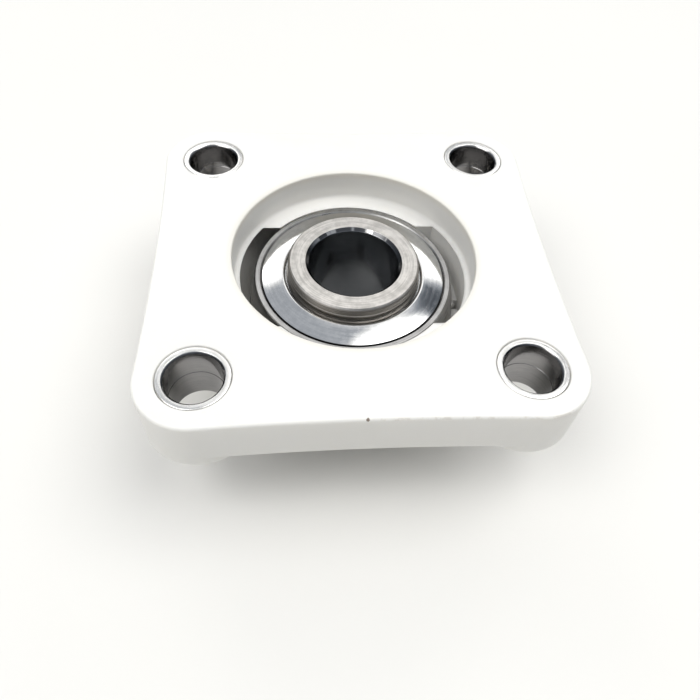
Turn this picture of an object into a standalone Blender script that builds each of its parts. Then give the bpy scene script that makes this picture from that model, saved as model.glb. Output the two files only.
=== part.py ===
"""Four-bolt square flange mount bearing: a moulded plastic housing with a self-aligning ball bearing insert.

Units are metres and +Z is up. The shaft axis is Z. The part stands on the long end of its inner ring, at
z = 0, and its mounting face looks up.
"""

from math import asin, atan2, cos, pi, radians, sin, sqrt

import bmesh
import bpy
from mathutils import Matrix, Vector

# Gap left between two pieces that touch on the real object
GAP = 0.0003

# Flange plate and boss
BOLT_SPACING = 0.064
CORNER_RADIUS = 0.0112
SIDE_BOW = 0.0008
WEB_THICKNESS = 0.011
PAD_THICKNESS = 0.0134
PLATE_EDGE = 0.0006
BOSS_BASE_RADIUS = 0.0305
BOSS_END_RADIUS = 0.0275
BOSS_DEPTH = 0.0275
BOSS_EDGE = 0.0015

# Recess, spherical seat and loading slots
SEAT_DEPTH = 0.0157
MOUTH_RADIUS = 0.02635
MOUTH_EDGE = 0.0004
LEDGE_DEPTH = 0.0070
LEDGE_FILLET = 0.0008
SEAT_FRONT = 0.0080
FRONT_MOUTH_RADIUS = 0.0245
SLOT_RADIUS = 0.0252
SLOT_HALF_WIDTH = 0.015

# Stainless sleeves in the bolt holes
SLEEVE_RADIUS = 0.0070
SLEEVE_BORE = 0.0055
SLEEVE_CHAMFER = 0.00034
SLEEVE_RECESS = 0.0002

# Insert bearing
BORE = 0.010
RING_SPHERE = 0.0235
RING_HALF_WIDTH = 0.0085
RING_FACE_RADIUS = 0.0205
OUTER_SHOULDER = 0.0194
SEAL_SEAT = 0.0062
INNER_RADIUS = 0.0145
INNER_BACK = 0.0127
INNER_FRONT = 0.0183
INNER_BORE_CHAMFER = 0.0007
INNER_EDGE_CHAMFER = 0.0005

# Contact seals and the slingers outside them
SEAL_THICKNESS = 0.0008
SEAL_LIP = 0.0008
SLINGER_SHEET = 0.0005
SLINGER_CREST = 0.0095
SLINGER_CREST_RADIUS = 0.0158

# Balls, in a pressed ribbon cage of two riveted halves
BALL_RADIUS = 0.003969
PITCH_RADIUS = 0.01675
BALL_COUNT = 8
CAGE_INNER = 0.01535
CAGE_OUTER = 0.01815
CAGE_SHEET = 0.0005
RIVET_SHANK = 0.0005
RIVET_HEAD = 0.0011
RIVET_HEAD_HEIGHT = 0.0005

# Grub screws that lock the shaft, and the pin that stops the outer ring turning
SCREW_RADIUS = 0.0027
SCREW_FROM_END = 0.005
SCREW_INNER_END = 0.0104
SCREW_OUTER_END = 0.0154
SCREW_SOCKET = 0.0015
SOCKET_DEPTH = 0.0025
SCREW_ANGLES = (radians(-120), radians(0))
PIN_RADIUS = 0.001
PIN_ANGLE = radians(-6)
PIN_ROOT = 0.0222
PIN_TIP = 0.0247
PIN_TRAVEL = 0.0014
PIN_SOCKET_END = 0.0253

# Grease nipple in the side of the boss
NIPPLE_HEIGHT = 0.0145
NIPPLE_SHANK = 0.0027
NIPPLE_HEX = 0.0040
NIPPLE_ROOT = 0.0266
NIPPLE_SEAT = 0.0308
GREASE_CHANNEL = 0.0011

MOUNT_Z = INNER_FRONT + SEAT_DEPTH
CENTRE_Z = INNER_FRONT
HALF_SIDE = BOLT_SPACING / 2 + CORNER_RADIUS
BOLTS = [(sx * BOLT_SPACING / 2, sy * BOLT_SPACING / 2) for sx, sy in ((1, 1), (-1, 1), (-1, -1), (1, -1))]
RACE_RADIUS = BALL_RADIUS + GAP

# How far a cutter passes the face it opens, and the steps that make a round
CLEAR = 0.001
CORNER_STEPS = 9
ROUND_STEPS = 48
SLEEVE_STEPS = 24


def clear_scene():
    for obj in list(bpy.data.objects):
        bpy.data.objects.remove(obj, do_unlink=True)


def principled(name, colour, roughness, metallic):
    material = bpy.data.materials.new(name)
    material.use_nodes = True
    shader = material.node_tree.nodes["Principled BSDF"]
    shader.inputs["Base Color"].default_value = (*colour, 1)
    shader.inputs["Roughness"].default_value = roughness
    shader.inputs["Metallic"].default_value = metallic
    return material


def add_object(name, bm, material=None, location=(0, 0, 0)):
    """Turns a bmesh into a named object, shaded smooth but for its sharp edges."""
    bmesh.ops.recalc_face_normals(bm, faces=bm.faces)
    mesh = bpy.data.meshes.new(name)
    bm.to_mesh(mesh)
    bm.free()
    mesh.shade_smooth()
    mesh.set_sharp_from_angle(angle=radians(30))
    if material:
        mesh.materials.append(material)
    obj = bpy.data.objects.new(name, mesh)
    obj.location = location
    bpy.context.collection.objects.link(obj)
    return obj


def add_cutter(name, bm, location=(0, 0, 0)):
    cutter = add_object(name, bm, location=location)
    cutter.hide_render = True
    cutter.display_type = "WIRE"
    return cutter


def combine(obj, other, operation):
    boolean = obj.modifiers.new(other.name, "BOOLEAN")
    boolean.operation = operation
    boolean.solver = "EXACT"
    boolean.object = other


def arc(centre, radius, start, end, steps):
    """Points along an arc, as pairs, with both ends."""
    angles = [start + (end - start) * i / steps for i in range(steps + 1)]
    return [(centre[0] + radius * cos(a), centre[1] + radius * sin(a)) for a in angles]


def turned(profile, steps=ROUND_STEPS):
    """A closed outline of (radius, height) points turned about Z. One that starts on the axis ends on it too."""
    bm = bmesh.new()
    verts = [bm.verts.new((r, 0, z)) for r, z in profile]
    pairs = list(zip(verts, verts[1:]))
    if profile[0][0] > 0:
        pairs.append((verts[-1], verts[0]))
    edges = [bm.edges.new(pair) for pair in pairs]
    bmesh.ops.spin(
        bm, geom=verts + edges, cent=(0, 0, 0), axis=(0, 0, 1), angle=2 * pi, steps=steps, use_merge=True
    )
    bmesh.ops.remove_doubles(bm, verts=bm.verts, dist=1e-7)
    return bm


def lofted(sections):
    """A closed body through (outline, height) sections, whose outlines all have the same count of points."""
    bm = bmesh.new()
    rings = [[bm.verts.new((x, y, z)) for x, y in outline] for outline, z in sections]
    for low, high in zip(rings, rings[1:]):
        for i in range(len(low)):
            j = (i + 1) % len(low)
            bm.faces.new((low[i], low[j], high[j], high[i]))
    bm.faces.new(list(reversed(rings[0])))
    bm.faces.new(rings[-1])
    return bm


def prism(outline, low, high):
    """A closed (x, y) outline, extruded from one height to another."""
    return lofted([(outline, low), (outline, high)])


def point_along(bm, angle, distance, height):
    """Lays a shape built along +Z on its side, so that it points away from the shaft axis at an angle."""
    turn = Matrix.Rotation(angle, 4, "Z") @ Matrix.Rotation(pi / 2, 4, "Y")
    place = Matrix.Translation((distance * cos(angle), distance * sin(angle), height))
    bmesh.ops.transform(bm, matrix=place @ turn, verts=bm.verts)
    return bm


def sphere_arc(radius, z_top, z_bottom, steps):
    """The stretch of a sphere's outline between two heights above its centre, from the top down."""
    points = arc((0, 0), radius, asin(z_top / radius), asin(z_bottom / radius), steps)
    return [(x, CENTRE_Z + y) for x, y in points]


def edge_steps():
    """(inset, height) steps of a small round, from the flat face of a plate to its side."""
    return [(PLATE_EDGE * (1 - cos(a)), PLATE_EDGE * (1 - sin(a))) for a in (pi / 2, pi / 4, 0)]


def flange_outline(inset):
    """A square with round corners, whose sides bow in a little between them, moved in by inset."""
    outline = []
    for i, centre in enumerate(BOLTS):
        outline += arc(centre, CORNER_RADIUS - inset, i * pi / 2, (i + 1) * pi / 2, CORNER_STEPS)
        across = Vector((cos((i + 1) * pi / 2), sin((i + 1) * pi / 2)))
        along = Vector((-across.y, across.x))
        for t in (-0.25, 0, 0.25):
            out = HALF_SIDE - inset - SIDE_BOW * (1 - (2 * t) ** 2)
            outline.append(tuple(across * out + along * t * BOLT_SPACING))
    return outline


def recess_cutter():
    """The hollow that holds the insert: recess, ledge, spherical seat and front mouth, in one turned shape."""
    above = MOUNT_Z + CLEAR
    ledge = MOUNT_Z - LEDGE_DEPTH
    boss_end = MOUNT_Z - BOSS_DEPTH
    front_end = boss_end - CLEAR
    fillet = arc((MOUTH_RADIUS - LEDGE_FILLET, ledge + LEDGE_FILLET), LEDGE_FILLET, 0, -pi / 2, 3)
    profile = [(0, above), (MOUTH_RADIUS + MOUTH_EDGE, above), (MOUTH_RADIUS + MOUTH_EDGE, MOUNT_Z)]
    profile += [(MOUTH_RADIUS, MOUNT_Z - MOUTH_EDGE)] + fillet
    profile += sphere_arc(RING_SPHERE + GAP, ledge - CENTRE_Z, -SEAT_FRONT, 6)
    profile += [(FRONT_MOUTH_RADIUS, boss_end), (FRONT_MOUTH_RADIUS, front_end), (0, front_end)]
    return add_cutter("recess_cutter", turned(profile))


def slot_cutter():
    """The two loading slots: arcs on the left and right, joined by straight sides, down to the seat's middle."""
    half = asin(SLOT_HALF_WIDTH / SLOT_RADIUS)
    outline = arc((0, 0), SLOT_RADIUS, -half, half, 6) + arc((0, 0), SLOT_RADIUS, pi - half, pi + half, 6)
    return add_cutter("slot_cutter", prism(outline, CENTRE_Z, MOUNT_Z - LEDGE_DEPTH + CLEAR / 2))


def pin_notch_cutter():
    """The notch in the seat that the anti-rotation pin slides in as the bearing tilts."""
    half, start = PIN_RADIUS + GAP, RING_SPHERE - CLEAR
    outline = [(start, -half), (SLOT_RADIUS, -half), (SLOT_RADIUS, half), (start, half)]
    bm = prism(outline, CENTRE_Z - PIN_RADIUS - PIN_TRAVEL - GAP, CENTRE_Z + PIN_RADIUS)
    bmesh.ops.rotate(bm, verts=bm.verts, cent=(0, 0, 0), matrix=Matrix.Rotation(PIN_ANGLE, 3, "Z"))
    return add_cutter("pin_notch_cutter", bm)


def nipple_hole_cutter():
    """A stepped hole: wide for the nipple's thread, then a narrow grease channel through to the seat."""
    wide, narrow = NIPPLE_SHANK + GAP, GREASE_CHANNEL
    outside, step, inside = NIPPLE_SEAT + 3 * CLEAR, NIPPLE_ROOT - GAP, RING_SPHERE - CLEAR
    profile = [(0, outside), (wide, outside), (wide, step), (narrow, step), (narrow, inside), (0, inside)]
    bm = turned(profile, 12)
    return add_cutter("nipple_hole_cutter", point_along(bm, pi / 2, 0, NIPPLE_HEIGHT))


def flange_plate():
    bottom = MOUNT_Z - WEB_THICKNESS
    sections = [(flange_outline(inset), bottom + rise) for inset, rise in edge_steps()]
    sections += [(flange_outline(inset), MOUNT_Z - drop) for inset, drop in reversed(edge_steps())]
    return lofted(sections)


def bolt_pad(place):
    """A thick round pad at one corner of the flange. Its top ends inside the plate."""
    bottom = MOUNT_Z - PAD_THICKNESS
    circles = [(CORNER_RADIUS - inset, bottom + rise) for inset, rise in edge_steps()]
    circles.append((CORNER_RADIUS, MOUNT_Z - WEB_THICKNESS / 2))
    return lofted([(arc(place, radius, 0, 2 * pi, 4 * CORNER_STEPS)[:-1], z) for radius, z in circles])


def make_housing(material):
    housing = add_object("housing", flange_plate(), material)
    for i, place in enumerate(BOLTS):
        combine(housing, add_cutter(f"pad_{i + 1}", bolt_pad(place)), "UNION")
    boss_end, boss_top = MOUNT_Z - BOSS_DEPTH, MOUNT_Z - WEB_THICKNESS / 2
    boss = [(0, boss_top), (BOSS_BASE_RADIUS, boss_top), (BOSS_BASE_RADIUS, MOUNT_Z - PAD_THICKNESS)]
    boss += arc((BOSS_END_RADIUS - BOSS_EDGE, boss_end + BOSS_EDGE), BOSS_EDGE, 0, -pi / 2, 2) + [(0, boss_end)]
    combine(housing, add_cutter("boss", turned(boss)), "UNION")
    for cutter in (recess_cutter(), slot_cutter(), pin_notch_cutter(), nipple_hole_cutter()):
        combine(housing, cutter, "DIFFERENCE")
    for i, place in enumerate(BOLTS):
        hole = arc(place, SLEEVE_RADIUS + GAP, 0, 2 * pi, SLEEVE_STEPS)[:-1]
        bm = prism(hole, MOUNT_Z - PAD_THICKNESS - CLEAR, MOUNT_Z + CLEAR)
        combine(housing, add_cutter(f"bolt_hole_cutter_{i + 1}", bm), "DIFFERENCE")


def make_sleeves(material):
    bottom, top = MOUNT_Z - PAD_THICKNESS, MOUNT_Z - SLEEVE_RECESS
    c = SLEEVE_CHAMFER
    profile = [(SLEEVE_BORE, bottom + c), (SLEEVE_BORE, top - c), (SLEEVE_BORE + c, top)]
    profile += [(SLEEVE_RADIUS - c, top), (SLEEVE_RADIUS, top - c), (SLEEVE_RADIUS, bottom + c)]
    profile += [(SLEEVE_RADIUS - c, bottom), (SLEEVE_BORE + c, bottom)]
    for i, (x, y) in enumerate(BOLTS):
        add_object(f"bolt_sleeve_{i + 1}", turned(profile, SLEEVE_STEPS), material, (x, y, 0))


def make_outer_ring(material):
    w = RING_HALF_WIDTH
    groove = atan2(sqrt(RACE_RADIUS**2 - (OUTER_SHOULDER - PITCH_RADIUS) ** 2), OUTER_SHOULDER - PITCH_RADIUS)
    profile = sphere_arc(RING_SPHERE, w, -w, 8)
    profile += [(RING_FACE_RADIUS, CENTRE_Z - w), (RING_FACE_RADIUS, CENTRE_Z - SEAL_SEAT)]
    profile += [(OUTER_SHOULDER, CENTRE_Z - SEAL_SEAT)]
    profile += arc((PITCH_RADIUS, CENTRE_Z), RACE_RADIUS, -groove, groove, 5)
    profile += [(OUTER_SHOULDER, CENTRE_Z + SEAL_SEAT), (RING_FACE_RADIUS, CENTRE_Z + SEAL_SEAT)]
    profile += [(RING_FACE_RADIUS, CENTRE_Z + w)]
    ring = add_object("outer_ring", turned(profile), material)
    radius, depth = PIN_RADIUS + GAP, PIN_SOCKET_END - PIN_ROOT
    hole = turned([(0, depth), (radius, depth), (radius, 0), (0, 0)], 12)
    socket = add_cutter("pin_socket_cutter", point_along(hole, PIN_ANGLE, PIN_ROOT - GAP, CENTRE_Z))
    combine(ring, socket, "DIFFERENCE")


def make_inner_ring(material):
    top = CENTRE_Z + INNER_BACK
    edge, bore_edge = INNER_EDGE_CHAMFER, BORE + INNER_BORE_CHAMFER
    groove = atan2(sqrt(RACE_RADIUS**2 - (PITCH_RADIUS - INNER_RADIUS) ** 2), INNER_RADIUS - PITCH_RADIUS)
    profile = [(bore_edge, top), (INNER_RADIUS - edge, top), (INNER_RADIUS, top - edge)]
    profile += arc((PITCH_RADIUS, CENTRE_Z), RACE_RADIUS, groove, 2 * pi - groove, 5)
    profile += [(INNER_RADIUS, edge), (INNER_RADIUS - edge, 0), (bore_edge, 0), (BORE, INNER_BORE_CHAMFER)]
    profile += [(BORE, top - INNER_BORE_CHAMFER)]
    ring = add_object("inner_ring", turned(profile), material)
    radius, outside, inside = SCREW_RADIUS + GAP, INNER_RADIUS + 3 * CLEAR, BORE / 2
    for i, angle in enumerate(SCREW_ANGLES):
        bm = turned([(0, outside), (radius, outside), (radius, inside), (0, inside)], 16)
        cutter = add_cutter(f"screw_hole_cutter_{i + 1}", point_along(bm, angle, 0, SCREW_FROM_END))
        combine(ring, cutter, "DIFFERENCE")


def make_set_screws(material):
    """Cup-point grub screws with a hexagon socket in the outer end. Each origin is on the screw's axis."""
    length, chamfer, cup = SCREW_OUTER_END - SCREW_INNER_END, 0.0005, 0.0012
    profile = [(0, length), (SCREW_RADIUS - chamfer, length), (SCREW_RADIUS, length - chamfer)]
    profile += [(SCREW_RADIUS, chamfer), (SCREW_RADIUS - chamfer, 0), (cup, 0), (0, chamfer)]
    for i, angle in enumerate(SCREW_ANGLES):
        place = (SCREW_INNER_END * cos(angle), SCREW_INNER_END * sin(angle), SCREW_FROM_END)
        screw = add_object(f"set_screw_{i + 1}", point_along(turned(profile, 16), angle, 0, 0), material, place)
        hexagon = arc((0, 0), SCREW_SOCKET, 0, 2 * pi, 6)[:-1]
        bm = point_along(prism(hexagon, length - SOCKET_DEPTH, length + CLEAR), angle, 0, 0)
        combine(screw, add_cutter(f"socket_cutter_{i + 1}", bm, place), "DIFFERENCE")


def make_pin(material):
    """A short round pin with a domed tip, standing out of the outer ring."""
    length = PIN_TIP - PIN_ROOT
    dome = arc((0, length - PIN_RADIUS), PIN_RADIUS, pi / 2, 0, 3)
    bm = turned(dome + [(PIN_RADIUS, 0), (0, 0)], 12)
    place = (PIN_ROOT * cos(PIN_ANGLE), PIN_ROOT * sin(PIN_ANGLE), CENTRE_Z)
    add_object("anti_rotation_pin", point_along(bm, PIN_ANGLE, 0, 0), material, place)


def on_pitch_circle(position):
    """A place on the circle of the balls' centres, counted in balls: whole numbers fall between two balls."""
    angle = 2 * pi * position / BALL_COUNT
    return PITCH_RADIUS * cos(angle), PITCH_RADIUS * sin(angle)


def make_balls(material):
    for i in range(BALL_COUNT):
        x, y = on_pitch_circle(i + 0.5)
        bm = bmesh.new()
        bmesh.ops.create_uvsphere(bm, u_segments=12, v_segments=7, radius=BALL_RADIUS)
        add_object(f"ball_{i + 1}", bm, material, (x, y, CENTRE_Z))


def cage_stations(i):
    """The (angle, inner height, outer angle, outer height) stations across one ball pocket of a cage half."""
    middle = 2 * pi * (i + 0.5) / BALL_COUNT
    inner, outer = RACE_RADIUS, RACE_RADIUS + CAGE_SHEET
    land_low, land_high = GAP / 2, GAP / 2 + CAGE_SHEET
    stations = []
    for (low_x, low_z), (high_x, high_z) in zip(arc((0, 0), inner, pi, 0, 6), arc((0, 0), outer, pi, 0, 6)):
        low_angle, high_angle = middle + low_x / PITCH_RADIUS, middle + high_x / PITCH_RADIUS
        stations.append((low_angle, max(low_z, land_low), high_angle, max(high_z, land_high)))
    return stations


def make_cage_half(name, side, material):
    """A pressed ribbon that runs over the balls on one side and lies flat between them, with its rivet holes."""
    bm = bmesh.new()
    rings = []
    for i in range(BALL_COUNT):
        for low_angle, low, high_angle, high in cage_stations(i):
            corners = [(CAGE_INNER, low_angle, low), (CAGE_OUTER, low_angle, low)]
            corners += [(CAGE_OUTER, high_angle, high), (CAGE_INNER, high_angle, high)]
            rings.append([bm.verts.new((r * cos(a), r * sin(a), side * z)) for r, a, z in corners])
    for ring, following in zip(rings, rings[1:] + rings[:1]):
        for j in range(4):
            bm.faces.new((ring[j], ring[(j + 1) % 4], following[(j + 1) % 4], following[j]))
    half = add_object(name, bm, material, (0, 0, CENTRE_Z))
    for i in range(BALL_COUNT):
        hole = arc(on_pitch_circle(i), RIVET_SHANK + GAP, 0, 2 * pi, 8)[:-1]
        cutter = add_cutter(f"{name}_hole_cutter_{i + 1}", prism(hole, -2 * CLEAR, 2 * CLEAR), (0, 0, CENTRE_Z))
        combine(half, cutter, "DIFFERENCE")


def make_rivets(material):
    inside = GAP * 1.5 + CAGE_SHEET
    outside = inside + RIVET_HEAD_HEIGHT
    profile = [(0, outside), (RIVET_HEAD * 0.7, outside), (RIVET_HEAD, inside), (RIVET_SHANK, inside)]
    profile += [(r, -z) for r, z in reversed(profile)]
    for i in range(BALL_COUNT):
        x, y = on_pitch_circle(i)
        add_object(f"cage_rivet_{i + 1}", turned(profile, 8), material, (x, y, CENTRE_Z))


def mirrored(profile, side):
    """Heights above the bearing's middle, taken up or down from it."""
    return [(r, CENTRE_Z + side * z) for r, z in profile]


def make_seal(name, side, material):
    """A contact seal held in the outer ring's seat, whose lip runs just clear of the inner ring."""
    low = SEAL_SEAT + GAP
    high = low + SEAL_THICKNESS
    rim, lip = RING_FACE_RADIUS - GAP, INNER_RADIUS + GAP
    profile = [(rim, low), (rim, high), (lip + SEAL_LIP, high), (lip, high - SEAL_LIP / 2), (lip, low)]
    add_object(name, turned(mirrored(profile, side), 32), material)


def make_slinger(name, side, material):
    """A pressed shallow cone that turns with the inner ring. Its crest rolls down to a collar on the ring."""
    rim, collar = RING_FACE_RADIUS - GAP, INNER_RADIUS + GAP
    well = SLINGER_CREST_RADIUS - SLINGER_SHEET
    collar_top, collar_foot = SLINGER_CREST - 0.0013, SLINGER_CREST - 0.0020
    cone = [(rim, RING_HALF_WIDTH), (SLINGER_CREST_RADIUS, SLINGER_CREST)]
    profile = cone + [(well, SLINGER_CREST - SLINGER_SHEET / 2), (well, collar_top), (collar, collar_top)]
    profile += [(collar, collar_foot), (SLINGER_CREST_RADIUS, collar_foot)]
    profile += [(r, z - SLINGER_SHEET) for r, z in reversed(cone)]
    add_object(name, turned(mirrored(profile, side), 40), material)


def make_nipple(material):
    """A grease nipple: threaded shank in the boss, hexagon and a necked conical head."""
    wrench, neck_z, head_z, tip = (NIPPLE_SEAT + rise for rise in (0.0030, 0.0058, 0.0073, 0.0090))
    head, neck, mouth = 0.0026, 0.0018, 0.0014
    profile = [(0, tip), (mouth, tip), (head, head_z), (neck, neck_z), (head, wrench)]
    profile += [(head, NIPPLE_SEAT), (NIPPLE_SHANK, NIPPLE_SEAT - CLEAR), (NIPPLE_SHANK, NIPPLE_ROOT)]
    shank = point_along(turned(profile + [(0, NIPPLE_ROOT)], 12), pi / 2, 0, NIPPLE_HEIGHT)
    nipple = add_object("grease_nipple", shank, material)
    hexagon = prism(arc((0, 0), NIPPLE_HEX, 0, 2 * pi, 6)[:-1], NIPPLE_SEAT, wrench)
    combine(nipple, add_cutter("nipple_hexagon", point_along(hexagon, pi / 2, 0, NIPPLE_HEIGHT)), "UNION")


def main():
    clear_scene()
    plastic = principled("white_plastic", (0.83, 0.83, 0.81), 0.42, 0.0)
    ground = principled("ground_steel", (0.60, 0.58, 0.55), 0.32, 1.0)
    turned_steel = principled("turned_steel", (0.55, 0.55, 0.55), 0.28, 1.0)
    polished = principled("polished_steel", (0.80, 0.81, 0.83), 0.08, 1.0)
    ball_steel = principled("ball_steel", (0.78, 0.78, 0.80), 0.04, 1.0)
    pressed = principled("pressed_steel", (0.55, 0.55, 0.54), 0.35, 1.0)
    rubber = principled("seal_rubber", (0.02, 0.02, 0.02), 0.7, 0.0)
    screw_steel = principled("screw_steel", (0.30, 0.30, 0.31), 0.35, 1.0)
    nipple_steel = principled("nipple_steel", (0.62, 0.60, 0.55), 0.25, 1.0)
    make_housing(plastic)
    make_sleeves(turned_steel)
    make_nipple(nipple_steel)
    make_pin(polished)
    make_outer_ring(ground)
    make_inner_ring(ground)
    make_balls(ball_steel)
    make_cage_half("cage_half_back", 1, pressed)
    make_cage_half("cage_half_front", -1, pressed)
    make_rivets(pressed)
    make_seal("seal_back", 1, rubber)
    make_seal("seal_front", -1, rubber)
    make_slinger("slinger_back", 1, polished)
    make_slinger("slinger_front", -1, polished)
    make_set_screws(screw_steel)


main()
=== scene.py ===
"""Looks of the flange mount bearing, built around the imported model.

Lengths are metres and +Z is up, as in the frame.
Every CAD node is replaced by a finer piece of the same size.
"""

from math import asin, atan2, cos, pi, radians, sin, sqrt

import bmesh
import bpy
from mathutils import Matrix, Vector


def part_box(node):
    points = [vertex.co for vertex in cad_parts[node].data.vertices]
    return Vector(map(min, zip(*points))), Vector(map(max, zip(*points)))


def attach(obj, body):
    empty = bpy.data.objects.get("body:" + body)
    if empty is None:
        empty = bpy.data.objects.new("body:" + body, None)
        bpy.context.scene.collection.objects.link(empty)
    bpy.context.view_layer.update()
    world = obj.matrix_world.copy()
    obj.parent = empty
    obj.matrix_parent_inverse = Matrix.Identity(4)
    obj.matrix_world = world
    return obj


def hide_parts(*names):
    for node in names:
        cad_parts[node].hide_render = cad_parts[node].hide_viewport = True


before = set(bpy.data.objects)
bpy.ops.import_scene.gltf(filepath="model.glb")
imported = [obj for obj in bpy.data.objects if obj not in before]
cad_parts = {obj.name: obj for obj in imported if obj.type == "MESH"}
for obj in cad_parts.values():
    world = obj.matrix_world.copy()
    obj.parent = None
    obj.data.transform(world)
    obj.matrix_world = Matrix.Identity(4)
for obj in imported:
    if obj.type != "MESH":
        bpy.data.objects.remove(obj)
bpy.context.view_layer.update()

# Places and sizes read from the frame
HOUSING_LOW, HOUSING_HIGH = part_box("housing")
OUTER_LOW, OUTER_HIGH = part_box("outer_ring")
INNER_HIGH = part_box("inner_ring")[1]
SLEEVE_LOW, SLEEVE_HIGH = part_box("bolt_sleeve_1")
HALF_SIDE = HOUSING_HIGH.x
MOUNT_Z = HOUSING_HIGH.z
BOSS_END_Z = HOUSING_LOW.z
CENTRE_Z = (OUTER_LOW.z + OUTER_HIGH.z) / 2
RING_SPHERE = OUTER_HIGH.x
RING_HALF_WIDTH = OUTER_HIGH.z - CENTRE_Z
INNER_RADIUS = INNER_HIGH.x
SLEEVE_RADIUS = (SLEEVE_HIGH.x - SLEEVE_LOW.x) / 2
PAD_Z = SLEEVE_LOW.z
HALF_SPACING = (SLEEVE_LOW.x + SLEEVE_HIGH.x) / 2
CORNER_RADIUS = HALF_SIDE - HALF_SPACING
BOLTS = [(sx * HALF_SPACING, sy * HALF_SPACING) for sx, sy in ((1, 1), (-1, 1), (-1, -1), (1, -1))]

# Housing
SIDE_BOW = 0.0008
WEB_Z = MOUNT_Z - 0.011
TOP_EDGE = 0.0006
LOW_EDGE = 0.0005
BOSS_BASE_RADIUS = 0.0305
BOSS_END_RADIUS = 0.0275
BOSS_EDGE = 0.0015
WEB_FILLET = 0.0012
MOUTH_RADIUS = 0.02635
MOUTH_ROUND = 0.0004
LEDGE_Z = MOUNT_Z - 0.0070
LEDGE_FILLET = 0.0008
SEAT_RADIUS = RING_SPHERE + 0.00022
SEAT_FRONT = 0.0080
FRONT_MOUTH_RADIUS = 0.0245
SLOT_RADIUS = 0.0252
SLOT_HALF_WIDTH = 0.015
SLOT_ROUND = 0.0003
SLOT_CORNER = 0.0005
CHIP = (-0.0007, 0.0002 - HALF_SIDE + SIDE_BOW, MOUNT_Z - 0.0002)
HOLE_CLEARANCE = 0.00012

# Insert bearing
BORE = 0.010
BALL_RADIUS = 0.003969
PITCH_RADIUS = 0.01675
BALL_COUNT = 8
RACE_RADIUS = BALL_RADIUS + 0.0001
OUTER_SHOULDER = 0.0194
RING_FACE_RADIUS = 0.0206
SEAL_SEAT = 0.0062
SLINGER_RIM = 0.0203
SLINGER_CREST = 0.0095
SLINGER_CREST_RADIUS = 0.0158
SLINGER_SHEET = 0.0004
PIN_ANGLE = radians(-6)
PIN_RADIUS = 0.001
PIN_ROOT = 0.0222
PIN_TIP = 0.0247
SCREW_ANGLES = (radians(-120), radians(0))
SCREW_RADIUS = 0.0029
SCREW_HEIGHT = 0.005
SCREW_INNER_END = 0.0104
SCREW_OUTER_END = 0.0154
NIPPLE_HEIGHT = 0.0145

# Soft light: (direction, widest and narrowest angle in degrees, brightness within the narrowest).
# The room and the patch give the brightness beyond the widest before it. The patch multiplies the others.
ROOM = ((0, 0.2, 1), 80, 35, 0.03, 0.57)
GREY_PATCH = ((0.50, 0.51, 0.70), 11, 5, 1.0, 0.25)
DIM_TINT = (0.82, 0.935, 1.11)
BRIGHT_TINT = (1.0, 0.998, 0.985)
SOFTBOXES = [
    ((0.40, 0.04, 0.91), 25, 16, 3.7),
    ((-0.50, -0.22, 0.84), 25, 12, 4.0),
    ((-0.30, 0.78, 0.55), 15, 8, 2.2),
    ((0.48, 0.72, 0.50), 14, 7, 2.2),
    ((0.10, 0.60, 0.80), 17, 7, 1.0),
]

# Staging
FLOOR_RADIUS = 2.5
FLOOR_Z = -0.00005
WALL_RADIUS = 2.4
WALL_HEIGHT = 5
WALL_CENTRE_Z = 2.49
WALL_LIGHT = 0.96

# Camera
CAMERA_AZIMUTH = radians(-7.84)
CAMERA_ELEVATION = radians(53.1)
CAMERA_ROLL = radians(4.88)
CAMERA_DISTANCE = 0.1218
CAMERA_TARGET = (-0.00286, -0.02682, MOUNT_Z)
CAMERA_LENS = 32.79
SENSOR_WIDTH = 36

# Colours, as linear light: one, or a dark and a light one
PLASTIC = ((0.78, 0.77, 0.74), (0.81, 0.80, 0.77))
FLOW_MARK = (0.795, 0.78, 0.745)
# Warm painted shade round the recess's mouth
MOUTH_WARM_SHADE = (0.70, 0.66, 0.58)
SCUFF = (0.42, 0.36, 0.30)
# Painted reflection on the slingers' far side, darker brownish grey
CHIPPED = (0.20, 0.16, 0.13)
FAR_SIDE_REFLECTION = (0.52, 0.50, 0.47)
# Bore chamfer: dark painted shade and light painted highlight arcs
CHAMFER_SHADE_AND_GLINT = ((0.14, 0.14, 0.145), (0.74, 0.72, 0.70))
# Banded painted shade on the inner ring's outer wall, in the gap beside the slinger
WALL_GAP_SHADE = ((0.19, 0.175, 0.155), (0.46, 0.435, 0.405))
RUBBER = ((0.012, 0.012, 0.013), (0.035, 0.034, 0.033))
FLOOR_PAPER = ((0.74, 0.73, 0.705), (0.77, 0.76, 0.735))
WALL_PAPER = (1, 1, 0.995)

# Painted shade inside the holes, for the inner ring's bore and the sleeves: (radius that each reaches out
# to, dark colour, light colour)
BORE_SHADE = (BORE + 0.0006, (0.20, 0.21, 0.23), (0.36, 0.37, 0.38))
SLEEVE_SHADE = (0.0058, (0.17, 0.17, 0.18), (0.38, 0.37, 0.36))

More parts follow.
